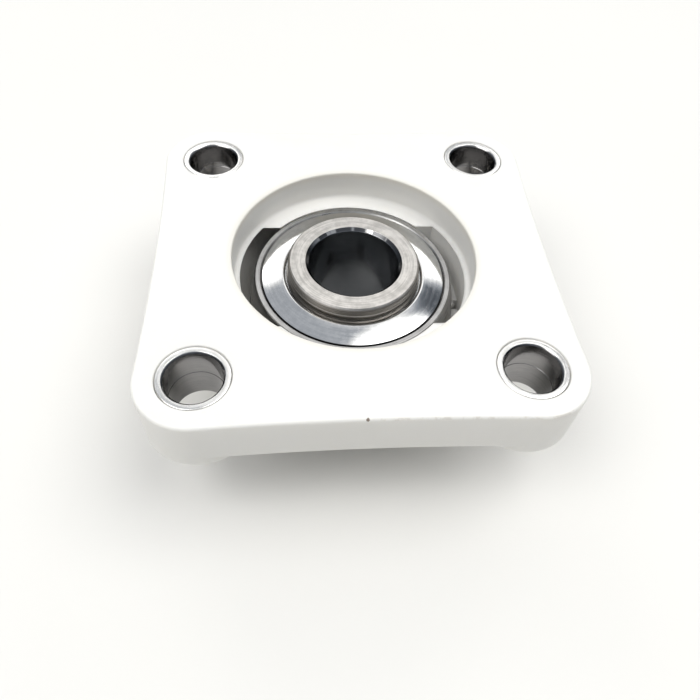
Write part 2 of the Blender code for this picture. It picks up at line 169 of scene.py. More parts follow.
# Metals: (dark colour, light colour, roughness range, spacing of the lines, depth of the lines)
METALS = {
    "turned_steel": ((0.70, 0.69, 0.67), (0.84, 0.83, 0.81), (0.2, 0.3), 0.0003, 0.000006),
    "ground_steel": ((0.30, 0.295, 0.29), (0.46, 0.455, 0.45), (0.24, 0.34), 0.00022, 0.000004),
    "honed_steel": ((0.40, 0.385, 0.365), (0.66, 0.635, 0.605), (0.28, 0.40), 0.00026, 0.000004),
    "bright_plate": ((0.58, 0.585, 0.59), (0.70, 0.70, 0.70), (0.05, 0.12), 0.00060, 0.000002),
    "ball_polish": ((0.60, 0.60, 0.60), (0.68, 0.68, 0.68), (0.04, 0.08), 0.00080, 0.0000005),
    "pressed_steel": ((0.38, 0.375, 0.37), (0.50, 0.495, 0.485), (0.28, 0.42), 0.00050, 0.000006),
    "pin_polish": ((0.70, 0.70, 0.70), (0.80, 0.80, 0.80), (0.12, 0.2), 0.00040, 0.000002),
    "blackened_steel": ((0.05, 0.05, 0.052), (0.10, 0.10, 0.10), (0.30, 0.45), 0.00040, 0.000008),
    "zinc_plate": ((0.55, 0.555, 0.56), (0.70, 0.70, 0.70), (0.18, 0.30), 0.00040, 0.000006),
}
LINE_SWAY = 1.5

# Steps of a full turn, a flange corner and a flange side
ROUND_STEPS = 160
CORNER_STEPS = 24
SIDE_STEPS = 16


# --- geometry helpers ---


def arc(centre, radius, start, end, steps):
    """Points along an arc, as pairs, with both ends."""
    angles = [start + (end - start) * i / steps for i in range(steps + 1)]
    return [(centre[0] + radius * cos(a), centre[1] + radius * sin(a)) for a in angles]


def circle(centre, radius, steps):
    return arc(centre, radius, 0, 2 * pi, steps)[:-1]


def turned(profile, steps=ROUND_STEPS):
    """A closed (radius, height) outline turned about Z. One that starts on the axis ends on it too."""
    bm = bmesh.new()
    verts = [bm.verts.new((r, 0, z)) for r, z in profile]
    pairs = list(zip(verts, verts[1:]))
    if profile[0][0] > 0:
        pairs.append((verts[-1], verts[0]))
    edges = [bm.edges.new(pair) for pair in pairs]
    bmesh.ops.spin(
        bm, geom=verts + edges, cent=(0, 0, 0), axis=(0, 0, 1), angle=2 * pi, steps=steps, use_merge=True
    )
    bmesh.ops.remove_doubles(bm, verts=bm.verts, dist=1e-7)
    return bm


def lofted(loops):
    """A closed body through loops of (x, y, z) points, all with the same count, capped at both ends."""
    bm = bmesh.new()
    rings = [[bm.verts.new(point) for point in loop] for loop in loops]
    for low, high in zip(rings, rings[1:]):
        for i in range(len(low)):
            j = (i + 1) % len(low)
            bm.faces.new((low[i], low[j], high[j], high[i]))
    bm.faces.new(list(reversed(rings[0])))
    bm.faces.new(rings[-1])
    return bm


def prism(outline, low, high):
    return lofted([[(x, y, z) for x, y in outline] for z in (low, high)])


def point_along(bm, angle, distance, height):
    """Lays a shape built along +Z on its side, so that it points away from the shaft axis at an angle."""
    turn = Matrix.Rotation(angle, 4, "Z") @ Matrix.Rotation(pi / 2, 4, "Y")
    place = Matrix.Translation((distance * cos(angle), distance * sin(angle), height))
    bmesh.ops.transform(bm, matrix=place @ turn, verts=bm.verts)
    return bm


def make_object(name, bm, location=(0, 0, 0)):
    bmesh.ops.recalc_face_normals(bm, faces=bm.faces)
    mesh = bpy.data.meshes.new(name)
    bm.to_mesh(mesh)
    bm.free()
    obj = bpy.data.objects.new(name, mesh)
    obj.location = location
    bpy.context.collection.objects.link(obj)
    return obj


def as_bmesh(obj):
    """An object's shape. The object is removed."""
    bm = bmesh.new()
    bm.from_mesh(obj.data)
    bpy.data.objects.remove(obj, do_unlink=True)
    return bm


def combined(obj, parts):
    """Applies Booleans with other shapes, given as (bmesh, operation), and removes the shapes."""
    others = []
    for bm, operation in parts:
        other = make_object("tool_shape", bm, obj.location)
        boolean = obj.modifiers.new("boolean", "BOOLEAN")
        boolean.operation = operation
        boolean.solver = "EXACT"
        boolean.object = other
        others.append(other)
    graph = bpy.context.evaluated_depsgraph_get()
    mesh = bpy.data.meshes.new_from_object(obj.evaluated_get(graph))
    obj.modifiers.clear()
    obj.data = mesh
    for other in others:
        bpy.data.objects.remove(other, do_unlink=True)
    return obj


def finished(obj, material, body, nodes, sharp=32):
    """Shades a piece, gives it its material and ties it to the frame."""
    obj.data.shade_smooth()
    obj.data.set_sharp_from_angle(angle=radians(sharp))
    obj.data.materials.clear()
    obj.data.materials.append(material)
    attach(obj, body)
    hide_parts(*nodes)
    return obj


def sphere_arc(radius, z_top, z_bottom, steps):
    points = arc((0, 0), radius, asin(z_top / radius), asin(z_bottom / radius), steps)
    return [(x, CENTRE_Z + y) for x, y in points]


def mirrored(profile, side):
    return [(r, CENTRE_Z + side * z) for r, z in profile]


def rounded(profile, radius, steps=3):
    """A closed (radius, height) outline with its corners rounded. Radius is one number, or one for each."""
    radii = radius if isinstance(radius, (list, tuple)) else [radius] * len(profile)
    result = []
    count = len(profile)
    for i, corner in enumerate(profile):
        size = radii[i]
        here = Vector(corner)
        before, after = Vector(profile[i - 1]) - here, Vector(profile[(i + 1) % count]) - here
        if not size:
            result.append(corner)
            continue
        half = before.angle(after) / 2
        reach = min(size / max(sin(half) / cos(half), 1e-6), before.length * 0.49, after.length * 0.49)
        start, end = here + before.normalized() * reach, here + after.normalized() * reach
        for j in range(steps + 1):
            t = j / steps
            point = start * (1 - t) ** 2 + here * 2 * t * (1 - t) + end * t**2
            result.append((point.x, point.y))
    return result


# --- housing ---


def flange_outline(inset=0.0):
    """The flange's outline, moved in by inset: round corners, and sides that bow in a little."""
    outline = []
    for i, centre in enumerate(BOLTS):
        start = i * pi / 2
        outline += arc(centre, CORNER_RADIUS - inset, start, start + pi / 2, CORNER_STEPS)
        across = Vector((cos(start + pi / 2), sin(start + pi / 2)))
        along = Vector((-across.y, across.x))
        for k in range(1, SIDE_STEPS):
            t = 2 * k / SIDE_STEPS - 1
            out = HALF_SIDE - inset - SIDE_BOW * (1 - t * t)
            outline.append(tuple(across * out + along * t * HALF_SPACING))
    return outline


def edge_steps(radius, steps=5):
    """(inset, drop) pairs down a quarter round, from the flat face to the side."""
    angles = [pi / 2 * i / steps for i in range(steps + 1)]
    return [(radius * (1 - sin(a)), radius * (1 - cos(a))) for a in angles]


def plate():
    loops = [(flange_outline(inset), WEB_Z + drop) for inset, drop in edge_steps(LOW_EDGE)]
    loops += [(flange_outline(inset), MOUNT_Z - drop) for inset, drop in reversed(edge_steps(TOP_EDGE))]
    return lofted([[(x, y, z) for x, y in outline] for outline, z in loops])


def pad(centre):
    """A thick round pad behind each bolt hole, flush with the flange's corner."""
    def ring(radius, z):
        return [(x, y, z) for x, y in circle(centre, radius, 4 * CORNER_STEPS)]
    inside_plate = MOUNT_Z - 0.003
    loops = [ring(CORNER_RADIUS - inset, PAD_Z + drop) for inset, drop in edge_steps(LOW_EDGE)]
    return lofted(loops + [ring(CORNER_RADIUS, inside_plate)])


def web_fillet(centre):
    """The concave fillet between a pad and the web, kept inside the flange's side."""
    inside, above = CORNER_RADIUS - 0.001, WEB_Z + 0.001
    base = arc((CORNER_RADIUS + WEB_FILLET, WEB_Z - WEB_FILLET), WEB_FILLET, pi, pi / 2, 5)
    profile = [(inside, WEB_Z - WEB_FILLET)] + base
    profile += [(CORNER_RADIUS + WEB_FILLET, above), (inside, above)]
    bm = turned(profile, 4 * CORNER_STEPS)
    bmesh.ops.translate(bm, verts=bm.verts, vec=(*centre, 0))
    return bm


def boss():
    """The tapered round boss on the front, with a fillet at its foot and a round edge at its end."""
    slope = (BOSS_BASE_RADIUS - BOSS_END_RADIUS) / (WEB_Z - BOSS_END_Z)
    foot_centre = (BOSS_BASE_RADIUS + WEB_FILLET, WEB_Z - WEB_FILLET)
    foot = arc(foot_centre, WEB_FILLET, pi / 2, pi - atan2(slope, 1), 6)
    end = arc((BOSS_END_RADIUS - BOSS_EDGE, BOSS_END_Z + BOSS_EDGE), BOSS_EDGE, 0, -pi / 2, 8)
    top = WEB_Z + 0.004
    return turned([(0, top), (BOSS_BASE_RADIUS + WEB_FILLET, top)] + foot + end + [(0, BOSS_END_Z)])


def recess():
    """The hollow for the insert: rounded mouth, wall, ledge, spherical seat and front mouth."""
    mouth = arc((MOUTH_RADIUS + MOUTH_ROUND, MOUNT_Z - MOUTH_ROUND), MOUTH_ROUND, pi / 2, pi, 5)
    fillet = arc((MOUTH_RADIUS - LEDGE_FILLET, LEDGE_Z + LEDGE_FILLET), LEDGE_FILLET, 0, -pi / 2, 6)
    seat = sphere_arc(SEAT_RADIUS, LEDGE_Z - CENTRE_Z, -SEAT_FRONT, 18)
    front_round = 0.0006
    front = arc((FRONT_MOUTH_RADIUS + front_round, BOSS_END_Z + front_round), front_round, pi, 1.5 * pi, 5)
    above, below = MOUNT_Z + 0.002, BOSS_END_Z - 0.002
    profile = [(0, above), (MOUTH_RADIUS + MOUTH_ROUND, above)] + mouth + fillet + seat + front
    return turned(profile + [(FRONT_MOUTH_RADIUS + front_round, below), (0, below)])


def slots():
    """The two loading slots, with round corners, and a small round on their edge with the ledge."""
    def loop(grow, z):
        radius, half = SLOT_RADIUS + grow, SLOT_HALF_WIDTH + grow
        corner = SLOT_CORNER
        side = asin((half - corner) / (radius - corner))
        centre = (cos(side) * (radius - corner), half - corner)
        right = arc((centre[0], -centre[1]), corner, -pi / 2, -side, 5)
        right += arc((0, 0), radius, -side, side, 28)[1:-1] + arc(centre, corner, side, pi / 2, 5)
        outline = right + [(-x, -y) for x, y in right]
        return [(x, y, z) for x, y in outline]
    above = LEDGE_Z + 0.0006
    rim = [loop(SLOT_ROUND - inset, LEDGE_Z - drop) for inset, drop in reversed(edge_steps(SLOT_ROUND))]
    return lofted([loop(0, CENTRE_Z)] + rim + [loop(SLOT_ROUND, above)])


def pin_notch():
    """A round-bottomed notch under the anti-rotation pin."""
    half, drop, rise, start = PIN_RADIUS + 0.0004, 0.0016, 0.001, 0.0225
    outline = arc((drop, 0), half, -pi / 2, pi / 2, 12) + [(-rise, half), (-rise, -half)]
    return point_along(prism(outline, start, SLOT_RADIUS), PIN_ANGLE, 0, CENTRE_Z)


def bolt_hole(centre):
    """A through hole for a sleeve, with a small round at each face."""
    edge = 0.0003
    widest = SLEEVE_RADIUS + HOLE_CLEARANCE + edge
    above, below = MOUNT_Z + 0.001, PAD_Z - 0.001
    top = arc((widest, MOUNT_Z - edge), edge, pi / 2, pi, 4)
    low = arc((widest, PAD_Z + edge), edge, pi, 1.5 * pi, 4)
    profile = [(0, above), (widest, above)] + top + low
    bm = turned(profile + [(widest, below), (0, below)], 96)
    bmesh.ops.translate(bm, verts=bm.verts, vec=(*centre, 0))
    return bm


def nipple_hole():
    """The tapped hole for the grease nipple, and the narrow drilling from it to the recess."""
    wide, narrow = 0.0028, 0.0011
    outside, step, end = 0.034, 0.0262, 0.0225
    profile = [(0, outside), (wide, outside), (wide, step), (narrow, step), (narrow, end), (0, end)]
    return point_along(turned(profile, 32), pi / 2, 0, NIPPLE_HEIGHT)


def make_housing(material):
    housing = make_object("housing_shell", plate())
    combined(housing, [(pad(place), "UNION") for place in BOLTS])
    inside, reach = 0.0006, 0.003
    for place in BOLTS:
        fillet = make_object("fillet", web_fillet(place))
        keep = prism(flange_outline(inside), WEB_Z - reach, WEB_Z + reach)
        combined(fillet, [(keep, "INTERSECT")])
        combined(housing, [(as_bmesh(fillet), "UNION")])
    combined(housing, [(boss(), "UNION")])
    cuts = [recess(), slots(), pin_notch(), nipple_hole()] + [bolt_hole(place) for place in BOLTS]
    for cut in cuts:
        combined(housing, [(cut, "DIFFERENCE")])
    return finished(housing, material, "housing", ["housing"])


def make_sleeves(material):
    """Turned steel sleeves. A shallow step inside marks where the two drillings meet."""
    top, low = SLEEVE_HIGH.z, PAD_Z
    bore, chamfer, edge = 0.0055, 0.00036, 0.0002
    step_z, step = top - 0.0062, 0.00006
    profile = [(bore + step, step_z), (bore + step, top - chamfer)]
    profile += [(bore + chamfer + 0.0001, top), (SLEEVE_RADIUS, top), (SLEEVE_RADIUS, low)]
    profile += [(bore + chamfer, low), (bore, low + chamfer), (bore, step_z - step)]
    radii = [0, 0.00015, 0.0001, edge, edge, 0.0001, 0.0001, 0]
    for i, (x, y) in enumerate(BOLTS):
        sleeve = make_object(f"sleeve_{i + 1}", turned(rounded(profile, radii), 128), (x, y, 0))
        finished(sleeve, material, "housing", [f"bolt_sleeve_{i + 1}"], 40)


def make_nipple(material):
    """A grease nipple: threaded shank, hexagon with turned corners, necked head with its mouth."""
    seat, wrench, tip, root = 0.0308, 0.0338, 0.0398, 0.0266
    head, neck, mouth = 0.0026, 0.0018, 0.0006
    profile = [(0, tip - 0.0012), (mouth, tip - 0.0012), (mouth, tip - 0.0002), (mouth + 0.0003, tip)]
    profile += [(0.0014, tip), (head, tip - 0.0017), (neck, tip - 0.0032)]
    profile += [(head, wrench), (head, seat + 0.0005)]
    pitch, crest, valley = 0.0006, 0.00268, 0.0024
    turns = int((seat - root) / pitch)
    for k in range(turns):
        z = seat - pitch * k
        profile += [(crest, z - pitch * 0.3), (valley, z - pitch * 0.8)]
    profile += [(valley, root), (0, root)]
    nipple = make_object("nipple", point_along(turned(profile, 48), pi / 2, 0, NIPPLE_HEIGHT))
    hexagon = make_object("hexagon", prism(circle((0, 0), 0.0040, 6), seat, wrench))
    flat, wide, slack, cut = 0.0034, 0.0041, 0.0001, 0.0004
    crown = [(0, wrench + slack), (flat, wrench + slack), (wide, wrench - cut)]
    crown += [(wide, seat + cut), (flat, seat - slack), (0, seat - slack)]
    combined(hexagon, [(turned(crown, 48), "INTERSECT")])
    combined(nipple, [(point_along(as_bmesh(hexagon), pi / 2, 0, NIPPLE_HEIGHT), "UNION")])
    finished(nipple, material, "housing", ["grease_nipple"], 25)


# --- insert bearing ---


def make_outer_ring(material):
    low, high = CENTRE_Z - RING_HALF_WIDTH, CENTRE_Z + RING_HALF_WIDTH
    edge = 0.00025
    shoulder = OUTER_SHOULDER - PITCH_RADIUS
    groove = atan2(sqrt(RACE_RADIUS**2 - shoulder**2), shoulder)
    profile = sphere_arc(RING_SPHERE, RING_HALF_WIDTH - edge, edge - RING_HALF_WIDTH, 40)
    face = sqrt(RING_SPHERE**2 - RING_HALF_WIDTH**2) - edge * 0.6
    profile += [(face, low), (RING_FACE_RADIUS + edge, low), (RING_FACE_RADIUS, low + edge)]
    profile += [(RING_FACE_RADIUS, CENTRE_Z - SEAL_SEAT), (OUTER_SHOULDER, CENTRE_Z - SEAL_SEAT)]
    profile += arc((PITCH_RADIUS, CENTRE_Z), RACE_RADIUS, -groove, groove, 18)
    profile += [(OUTER_SHOULDER, CENTRE_Z + SEAL_SEAT), (RING_FACE_RADIUS, CENTRE_Z + SEAL_SEAT)]
    profile += [(RING_FACE_RADIUS, high - edge), (RING_FACE_RADIUS + edge, high), (face, high)]
    ring = make_object("ring_outer", turned(profile, 192))
    clear, depth = PIN_RADIUS + 0.00005, 0.0035
    socket = turned([(0, depth), (clear, depth), (clear, 0), (0, 0)], 32)
    combined(ring, [(point_along(socket, PIN_ANGLE, PIN_ROOT - 0.0001, CENTRE_Z), "DIFFERENCE")])
    finished(ring, material, "outer_race", ["outer_ring"])


def make_pin(material):
    length = PIN_TIP - PIN_ROOT
    dome = arc((0, length - PIN_RADIUS), PIN_RADIUS, pi / 2, 0, 12)
    shape = turned(dome + [(PIN_RADIUS, 0), (0, 0)], 48)
    pin = make_object("pin", point_along(shape, PIN_ANGLE, PIN_ROOT, CENTRE_Z))
    finished(pin, material, "pin", ["anti_rotation_pin"])


def make_inner_ring(material):
    """The long inner ring: ground faces, chamfered bore, ball groove and two threaded grub screw holes."""
    top = INNER_HIGH.z
    drop = INNER_RADIUS - PITCH_RADIUS
    groove = atan2(sqrt(RACE_RADIUS**2 - drop**2), drop)
    bore_chamfer, edge = 0.0007, 0.0005
    outside = [(BORE + bore_chamfer, top), (INNER_RADIUS - edge, top), (INNER_RADIUS, top - edge)]
    outside += arc((PITCH_RADIUS, CENTRE_Z), RACE_RADIUS, groove, 2 * pi - groove, 18)
    outside += [(INNER_RADIUS, edge), (INNER_RADIUS - edge, 0), (BORE + bore_chamfer, 0)]
    outside += [(BORE, bore_chamfer), (BORE, top - bore_chamfer)]
    ring = make_object("ring_inner", turned(outside, 192))
    pitch, valley, crest = 0.001, SCREW_RADIUS + 0.0001, SCREW_RADIUS + 0.00005
    start, first, end = 0.007, 0.0175, 0.018
    thread = [(0, end), (valley, end)]
    for k in range(10):
        z = first - pitch * k
        thread += [(valley, z), (crest, z - pitch / 2)]
    thread += [(valley, start), (0, start)]
    for angle in SCREW_ANGLES:
        hole = point_along(turned(thread, 40), angle, 0, SCREW_HEIGHT)
        combined(ring, [(hole, "DIFFERENCE")])
    finished(ring, material, "inner_race", ["inner_ring"])


def make_slinger(name, side, material, node):
    """A pressed shallow cone: flush with the ring face at its rim, and rolled down to a collar inside."""
    collar = INNER_RADIUS + 0.00004
    crest, crest_r, sheet = SLINGER_CREST, SLINGER_CREST_RADIUS, SLINGER_SHEET
    cone = [(SLINGER_RIM, RING_HALF_WIDTH), (crest_r + 0.0002, crest - 0.00003)]
    roll = arc((crest_r, crest - sheet * 1.5), sheet * 1.5, pi / 2, pi, 8)[1:]
    well = crest_r - sheet * 1.5
    foot = crest - 0.0020
    valley = (well + collar + sheet) / 2
    dip = arc((valley, foot + 0.0006), well - valley, 0, -pi, 8)
    lip = [(collar + sheet, foot + 0.0009), (collar + sheet * 0.7, foot + 0.0011), (collar, foot + 0.0010)]
    under = [(collar, foot), (valley, foot - 0.0001), (well + sheet * 0.6, foot + 0.0002)]
    inner_roll = [(well + sheet, crest - sheet * 1.5), (crest_r, crest - sheet)]
    profile = cone + roll + dip + lip + under + inner_roll
    profile += [(r, z - sheet) for r, z in reversed(cone[:-1])]
    slinger = make_object(name, turned(mirrored(profile, side), 192))
    finished(slinger, material, "inner_race", [node], 50)


def make_seal(name, side, material, node):
    """A rubber contact seal, dished round its lip, with a bead that snaps into the outer ring."""
    low, thick = SEAL_SEAT + 0.0001, 0.0009
    rim, lip = RING_FACE_RADIUS - 0.0001, INNER_RADIUS + 0.00005
    profile = [(rim, low), (rim, low + thick * 0.8)]
    profile += [(rim - 0.0006, low + thick), (rim - 0.0012, low + thick * 0.75)]
    profile += [(lip + 0.0014, low + thick * 0.75), (lip + 0.0008, low + thick), (lip, low + thick * 0.7)]
    profile += [(lip, low + thick * 0.3), (lip + 0.0009, low + thick * 0.2)]
    profile += [(rim - 0.0010, low + thick * 0.2)]
    seal = make_object(name, turned(rounded(mirrored(profile, side), 0.0002), 128))
    finished(seal, material, "outer_race", [node])


def on_pitch_circle(position):
    """A place on the balls' circle, counted in balls: whole numbers fall between two balls."""
    angle = 2 * pi * position / BALL_COUNT
    return PITCH_RADIUS * cos(angle), PITCH_RADIUS * sin(angle)


def make_balls(material):
    for i in range(BALL_COUNT):
        x, y = on_pitch_circle(i + 0.5)
        bm = bmesh.new()
        bmesh.ops.create_icosphere(bm, subdivisions=4, radius=BALL_RADIUS)
        ball = make_object(f"ball_piece_{i + 1}", bm, (x, y, CENTRE_Z))
        finished(ball, material, f"ball_{i + 1}", [f"ball_{i + 1}"])


def make_cage_half(name, side, material, node):
    """A pressed ribbon that runs over the balls on one side and lies flat between them."""
    sheet, land = 0.0005, 0.00002
    inner, outer = BALL_RADIUS + 0.00015, BALL_RADIUS + 0.00015 + sheet
    inside, outside = 0.01535, 0.01815
    rivet_hole, through, steps = 0.00055, 0.002, 24
    bm = bmesh.new()
    rings = []
    for i in range(BALL_COUNT):
        middle = 2 * pi * (i + 0.5) / BALL_COUNT
        for k in range(steps + 1):
            a = pi * (1 - k / steps)
            low_angle = middle + inner * cos(a) / PITCH_RADIUS
            high_angle = middle + outer * cos(a) / PITCH_RADIUS
            low, high = max(inner * sin(a), land), max(outer * sin(a), land + sheet)
            corners = [(inside, low_angle, low), (outside, low_angle, low)]
            corners += [(outside, high_angle, high), (inside, high_angle, high)]
            rings.append([bm.verts.new((r * cos(t), r * sin(t), side * z)) for r, t, z in corners])
    for ring, following in zip(rings, rings[1:] + rings[:1]):
        for j in range(4):
            bm.faces.new((ring[j], ring[(j + 1) % 4], following[(j + 1) % 4], following[j]))
    half = make_object(name, bm, (0, 0, CENTRE_Z))
    outlines = [circle(on_pitch_circle(i), rivet_hole, 20) for i in range(BALL_COUNT)]
    combined(half, [(prism(outline, -through, through), "DIFFERENCE") for outline in outlines])
    finished(half, material, "cage", [node])


def make_rivets(material):
    """Round-headed rivets through the flat lands of the two cage halves."""
    inside = 0.00054
    head = arc((0, inside - 0.0007), 0.0013, pi / 2, 0.57, 8)
    profile = head + [(0.0011, inside), (0.0005, inside)]
    profile += [(r, -z) for r, z in reversed(profile)]
    for i in range(BALL_COUNT):
        x, y = on_pitch_circle(i)
        rivet = make_object(f"rivet_{i + 1}", turned(profile, 32), (x, y, CENTRE_Z))
        finished(rivet, material, "cage", [f"cage_rivet_{i + 1}"])


def make_set_screws(material):
    """Cup-point grub screws: threaded outside, with a hexagon socket."""
    length = SCREW_OUTER_END - SCREW_INNER_END
    crest, valley, pitch = 0.00268, 0.0023, 0.001
    for i, angle in enumerate(SCREW_ANGLES):
        profile = [(0, length), (valley - 0.0001, length), (crest, length - 0.0004)]
        for k in range(int((length - 0.001) / pitch)):
            z = length - 0.0006 - pitch * k
            profile += [(valley, z - pitch * 0.4), (crest, z - pitch * 0.85), (crest, z - pitch)]
        profile += [(valley - 0.0003, 0), (0.0013, 0), (0, 0.0007)]
        place = (SCREW_INNER_END * cos(angle), SCREW_INNER_END * sin(angle), SCREW_HEIGHT)
        screw = make_object(f"grub_screw_{i + 1}", point_along(turned(profile, 48), angle, 0, 0), place)
        socket = point_along(prism(circle((0, 0), 0.0016, 6), length - 0.0025, length + 0.001), angle, 0, 0)
        combined(screw, [(socket, "DIFFERENCE")])
        finished(screw, material, f"set_screw_{i + 1}", [f"set_screw_{i + 1}"])


# --- materials ---


class Graph:
    """A node tree. Each method adds one node or a few, and gives the last one's output socket."""

    def __init__(self, tree, coordinates):
        self.nodes, self.links = tree.nodes, tree.links
        self.place = self.nodes.new("ShaderNodeTexCoord").outputs[coordinates]

    def add(self, kind, inputs, output=0, **settings):
        node = self.nodes.new("ShaderNode" + kind)
        for key, value in settings.items():
            setattr(node, key, value)
        for key, value in inputs.items():
            self.plug(value, node.inputs[key])
        return node.outputs[output]

    def plug(self, value, socket):
        if isinstance(value, bpy.types.NodeSocket):
            self.links.new(value, socket)
        else:
            socket.default_value = value

    def math(self, operation, first, second=0.0):
        return self.add("Math", {0: first, 1: second}, operation=operation)

    def product(self, *values):
        result = values[0]
        for value in values[1:]:
            result = self.math("MULTIPLY", result, value)
        return result

    def vector(self, operation, first, second=(0, 0, 0), output=0):
        return self.add("VectorMath", {0: first, 1: second}, output, operation=operation)

    def remap(self, value, low, high, to_low=0.0, to_high=1.0):
        """Value from low..high to to_low..to_high, eased at both ends."""
        inputs = {0: value, 1: low, 2: high, 3: to_low, 4: to_high}
        return self.add("MapRange", inputs, interpolation_type="SMOOTHSTEP")

    def noise(self, scale, detail=3.0, roughness=0.55, place=None):
        inputs = {"Vector": place or self.place, "Scale": scale, "Detail": detail, "Roughness": roughness}
        return self.add("TexNoise", inputs)

    def blend(self, factor, first, second):
        """A colour between two, each a socket or three numbers."""
        colours = [c if isinstance(c, bpy.types.NodeSocket) else (*c, 1) for c in (first, second)]
        inputs = {"Factor": factor, 6: colours[0], 7: colours[1]}
        return self.add("Mix", inputs, 2, data_type="RGBA")

    def axis(self, name):
        """One coordinate of the place: X, Y or Z."""
        return self.add("SeparateXYZ", {0: self.place}, "XYZ".index(name))

    def polar(self):
        """(distance from the local Z axis, direction from it)."""
        flat = self.vector("MULTIPLY", self.place, (1, 1, 0))
        return self.vector("LENGTH", flat, output="Value"), self.vector("NORMALIZE", flat)

    def turned_lines(self, pitch):
        """Fine lines round the local Z axis, as turning and grinding leave them, without a seam."""
        radius, direction = self.polar()
        round_part = self.vector("MULTIPLY", direction, (LINE_SWAY, LINE_SWAY, 0))
        height = self.add("CombineXYZ", {2: self.math("DIVIDE", self.axis("Z"), pitch)})
        inputs = {"Vector": self.vector("ADD", round_part, height), "W": self.math("DIVIDE", radius, pitch)}
        inputs |= {"Scale": 1.0, "Detail": 2.0, "Roughness": 0.6}
        return self.add("TexNoise", inputs, noise_dimensions="4D")


class Surface(Graph):
    """A material, with its Principled shader."""

    def __init__(self, name, **settings):
        self.material = bpy.data.materials.new(name)
        self.material.use_nodes = True
        super().__init__(self.material.node_tree, "Object")
        self.shader = self.nodes["Principled BSDF"]
        for key, value in settings.items():
            self.shader.inputs[key.replace("_", " ")].default_value = value

    def bump(self, *layers):
        """Raises the surface by each (height, depth in metres)."""
        normal = None
        for height, depth in layers:
            inputs = {"Height": height, "Distance": depth, "Strength": 1.0}
            if normal:
                inputs["Normal"] = normal
            normal = self.add("Bump", inputs)
        self.plug(normal, self.shader.inputs["Normal"])

    def done(self, colour, roughness):
        self.plug(colour, self.shader.inputs["Base Color"])
        self.plug(roughness, self.shader.inputs["Roughness"])
        return self.material


def edge_wear(g):
    """Scuffs on the round of the flange's front edge, right of its middle."""
    along, across, height = g.axis("X"), g.axis("Y"), g.axis("Z")
    above_side = g.remap(height, MOUNT_Z - 0.0007, MOUNT_Z - 0.0003)
    below_face = g.remap(height, MOUNT_Z - 0.00002, MOUNT_Z - 0.00012)
    at_front = g.remap(across, -0.0405, -0.0410)
    right_part = g.remap(along, -0.002, 0.004)
    patches = g.remap(g.noise(500, 4, 0.7), 0.46, 0.6)
    return g.product(above_side, below_face, at_front, right_part, patches)


def edge_chip(g):
    """A small chip with a ragged outline."""
    distance = g.vector("DISTANCE", g.place, CHIP, output="Value")
    ragged = g.math("ADD", distance, g.math("MULTIPLY", g.noise(2500), 0.0004))
    return g.remap(ragged, 0.00062, 0.00045)


def mouth_warm_shade(g):
    """The top of the recess's mouth, where a warm painted shade is laid on the rim."""
    near_mouth = g.remap(g.polar()[0], MOUTH_RADIUS + 0.0016, MOUTH_RADIUS + 0.0002)
    return g.product(near_mouth, g.remap(g.axis("Z"), MOUNT_Z - 0.0022, MOUNT_Z - 0.0003))


def housing_plastic():
    """White glass-filled plastic: mould grain, faint mottling, a warm painted shade round the recess's mouth
    and a worn front edge.
    """
    g = Surface("white_plastic", IOR=1.5, Subsurface_Weight=0.4, Subsurface_Scale=0.002,
                Subsurface_Radius=(1, 0.97, 0.9))
    grain, cloud = g.noise(4200, 4, 0.6), g.noise(95, 4, 0.6)
    flow = g.noise(30, 3, 0.5, g.vector("MULTIPLY", g.place, (1, 1, 4)))
    wear = edge_wear(g)
    colour = g.blend(cloud, *PLASTIC)
    colour = g.blend(g.remap(flow, 0.35, 0.7, 0, 0.5), colour, FLOW_MARK)
    # Warm painted shade on the rim of the recess's mouth.
    colour = g.blend(g.math("MULTIPLY", mouth_warm_shade(g), 0.45), colour, MOUTH_WARM_SHADE)
    colour = g.blend(g.math("MULTIPLY", wear, 0.35), colour, SCUFF)
    colour = g.blend(edge_chip(g), colour, CHIPPED)
    rough = g.math("ADD", g.remap(cloud, 0.3, 0.7, 0.34, 0.44), g.math("MULTIPLY", wear, 0.2))
    g.bump((grain, 0.000012), (cloud, 0.00003))
    return g.done(colour, rough)


def metal(name, hole_shade=None, mottle=(260, 0.4)):
    """Turned or ground metal: lines round the axis in colour, gloss and relief, and mottling (scale, share).

    The second argument is (radius, dark, light): within that radius the metal is smoother, and painted shade
    inside the hole gives it those colours.
    """
    dark, light, roughness, pitch, depth = METALS[name]
    scale, share = mottle
    g = Surface(name, Metallic=1.0)
    lines, blotch, fine = g.turned_lines(pitch), g.noise(scale, 4, 0.65), g.noise(5200, 3, 0.6)
    tone = g.math("ADD", g.math("MULTIPLY", lines, 1 - share), g.math("MULTIPLY", blotch, share))
    colour = g.blend(g.remap(tone, 0.36, 0.64), dark, light)
    gloss = g.math("ADD", g.remap(tone, 0.3, 0.7, *roughness), g.math("MULTIPLY", fine, 0.03))
    if hole_shade:
        # Painted shade inside the hole: within the radius the colour runs between the given dark and light.
        outside = g.remap(g.polar()[0], hole_shade[0], hole_shade[0] + 0.0001)
        colour = g.blend(outside, g.blend(tone, hole_shade[1], hole_shade[2]), colour)
        gloss = g.math("MULTIPLY", gloss, g.remap(outside, 0, 1, 0.5, 1))
    g.bump((lines, depth), (fine, depth * 0.35))
    return g, colour, gloss


def plain_metal(name, hole_shade=None):
    g, colour, gloss = metal(name, hole_shade)
    return g.done(colour, gloss)


def slinger_metal():
    """Bright plated sheet, with a brownish-grey painted reflection on its far side."""
    g, colour, gloss = metal("bright_plate", mottle=(700, 0.5))
    # Painted reflection: the far side, towards +Y, is blended towards a darker brownish grey.
    far = g.vector("DOT_PRODUCT", g.polar()[1], (0.1, 1, 0), output="Value")
    far_reflection = g.remap(g.math("ADD", far, g.math("MULTIPLY", g.noise(300), 0.3)), 0.8, 1.2)
    return g.done(g.blend(far_reflection, colour, FAR_SIDE_REFLECTION), gloss)


